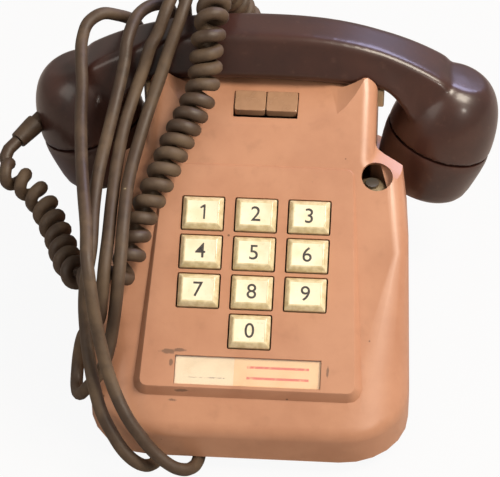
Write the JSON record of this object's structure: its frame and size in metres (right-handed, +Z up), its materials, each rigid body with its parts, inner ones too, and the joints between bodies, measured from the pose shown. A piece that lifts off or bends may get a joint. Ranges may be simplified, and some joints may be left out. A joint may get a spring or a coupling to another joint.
{
  "type": "corded desk telephone",
  "caption": "Push-button desk telephone with a lift-off handset across a sprung cradle, a curly handset cord and a line cord wound round the case.",
  "frame": {"origin": "on the table under the middle of the case and handset, cords left out", "axes": "+X along the handset towards the earpiece, +Y from the keys to the rear, +Z up"},
  "size_m": [0.2445, 0.2598, 0.1547],
  "materials": {
    "inner_plastic": "matt",
    "plated_steel": "plated",
    "handset_plastic": "satin",
    "rubber": "matt",
    "gong_metal": "dull",
    "cord_jacket": "satin vinyl",
    "clear_plastic": "gloss",
    "wound_copper": "wound wire",
    "key_plastic": "gloss",
    "circuit_board": "matt",
    "label_card": "matt paper",
    "case_plastic": "satin"
  },
  "bodies": {
    "case": {"base_plate": "inner_plastic", "base_screw_front": "plated_steel", "base_screw_rear": "plated_steel", "capacitor": "plated_steel", "foot_front_left": "rubber", "foot_front_right": "rubber", "foot_rear_left": "rubber", "foot_rear_right": "rubber", "gong": "gong_metal", "gong_screw": "plated_steel", "handset_cord": "cord_jacket", "handset_cord_grommet": "cord_jacket", "hook_bracket": "plated_steel", "hook_contacts": "inner_plastic", "induction_coil": "wound_copper", "key_board": "circuit_board", "key_frame": "inner_plastic", "label_card": "label_card", "label_window": "clear_plastic", "line_cord": "cord_jacket", "line_cord_grommet": "cord_jacket", "line_plug": "clear_plastic", "main_board": "circuit_board", "ringer_frame": "plated_steel", "ringer_spool": "wound_copper", "terminal_block": "inner_plastic", "upper_case": "case_plastic"},
    "handset": {"handset_body": "handset_plastic", "earpiece_cap": "handset_plastic", "mouthpiece_cap": "handset_plastic", "receiver_capsule": "plated_steel", "transmitter_capsule": "plated_steel", "handset_gland": "cord_jacket"},
    "key_0": {"key_0": "key_plastic"},
    "key_1": {"key_1": "key_plastic"},
    "key_2": {"key_2": "key_plastic"},
    "key_3": {"key_3": "key_plastic"},
    "key_4": {"key_4": "key_plastic"},
    "key_5": {"key_5": "key_plastic"},
    "key_6": {"key_6": "key_plastic"},
    "key_7": {"key_7": "key_plastic"},
    "key_8": {"key_8": "key_plastic"},
    "key_9": {"key_9": "key_plastic"},
    "press_tab_left": {"press_tab_left": "clear_plastic"},
    "press_tab_right": {"press_tab_right": "clear_plastic"},
    "hook_plunger_left": {"hook_plunger_left": "clear_plastic"},
    "hook_plunger_right": {"hook_plunger_right": "clear_plastic"},
    "hook_lever": {"hook_lever": "plated_steel"},
    "clapper": {"clapper": "plated_steel"}
  },
  "joints": [
    {"name": "handset_lift", "type": "slide", "parent": "case", "child": "handset", "axis": [0, 0, 1], "range_m": [0, 0.028], "deforming": ["handset_cord", "line_cord"]},
    {"name": "hook_plunger_left_rise", "type": "slide", "parent": "case", "child": "hook_plunger_left", "axis": [0, 0, 1], "range_m": [0, 0.006]},
    {"name": "hook_plunger_right_rise", "type": "slide", "parent": "case", "child": "hook_plunger_right", "axis": [0, 0, 1], "range_m": [0, 0.006]},
    {"name": "hook_lever_turn", "type": "hinge", "parent": "case", "child": "hook_lever", "pos_m": [0, 0.0843, 0.08034], "axis": [-1, 0, 0], "range_deg": [0, 13.2]},
    {"name": "key_0_press", "type": "slide", "parent": "case", "child": "key_0", "axis": [0, 0.515, -0.8572], "range_m": [0, 0.003], "stiffness_N_per_m": 300, "springref_m": -0.001},
    {"name": "key_1_press", "type": "slide", "parent": "case", "child": "key_1", "axis": [0, 0.515, -0.8572], "range_m": [0, 0.003], "stiffness_N_per_m": 300, "springref_m": -0.001},
    {"name": "key_2_press", "type": "slide", "parent": "case", "child": "key_2", "axis": [0, 0.515, -0.8572], "range_m": [0, 0.003], "stiffness_N_per_m": 300, "springref_m": -0.001},
    {"name": "key_3_press", "type": "slide", "parent": "case", "child": "key_3", "axis": [0, 0.515, -0.8572], "range_m": [0, 0.003], "stiffness_N_per_m": 300, "springref_m": -0.001},
    {"name": "key_4_press", "type": "slide", "parent": "case", "child": "key_4", "axis": [0, 0.515, -0.8572], "range_m": [0, 0.003], "stiffness_N_per_m": 300, "springref_m": -0.001},
    {"name": "key_5_press", "type": "slide", "parent": "case", "child": "key_5", "axis": [0, 0.515, -0.8572], "range_m": [0, 0.003], "stiffness_N_per_m": 300, "springref_m": -0.001},
    {"name": "key_6_press", "type": "slide", "parent": "case", "child": "key_6", "axis": [0, 0.515, -0.8572], "range_m": [0, 0.003], "stiffness_N_per_m": 300, "springref_m": -0.001},
    {"name": "key_7_press", "type": "slide", "parent": "case", "child": "key_7", "axis": [0, 0.515, -0.8572], "range_m": [0, 0.003], "stiffness_N_per_m": 300, "springref_m": -0.001},
    {"name": "key_8_press", "type": "slide", "parent": "case", "child": "key_8", "axis": [0, 0.515, -0.8572], "range_m": [0, 0.003], "stiffness_N_per_m": 300, "springref_m": -0.001},
    {"name": "key_9_press", "type": "slide", "parent": "case", "child": "key_9", "axis": [0, 0.515, -0.8572], "range_m": [0, 0.003], "stiffness_N_per_m": 300, "springref_m": -0.001},
    {"name": "press_tab_left_press", "type": "slide", "parent": "case", "child": "press_tab_left", "axis": [0, 0.1478, -0.989], "range_m": [0, 0.002], "stiffness_N_per_m": 300, "springref_m": -0.001},
    {"name": "press_tab_right_press", "type": "slide", "parent": "case", "child": "press_tab_right", "axis": [0, 0.1478, -0.989], "range_m": [0, 0.002], "stiffness_N_per_m": 300, "springref_m": -0.001},
    {"name": "clapper_swing", "type": "hinge", "parent": "case", "child": "clapper", "pos_m": [0.04204, 0.0118, 0.06402], "axis": [0, 1, 0], "range_deg": [-3.4, 3.4], "stiffness_Nm_per_rad": 0.002}
  ],
  "couplings": [
    {"joint": "hook_plunger_left_rise", "follows": "handset_lift", "ratio": 0.2142},
    {"joint": "hook_plunger_right_rise", "follows": "handset_lift", "ratio": 0.2142},
    {"joint": "hook_lever_turn", "follows": "handset_lift", "rad_per_m": 8.2142}
  ]
}
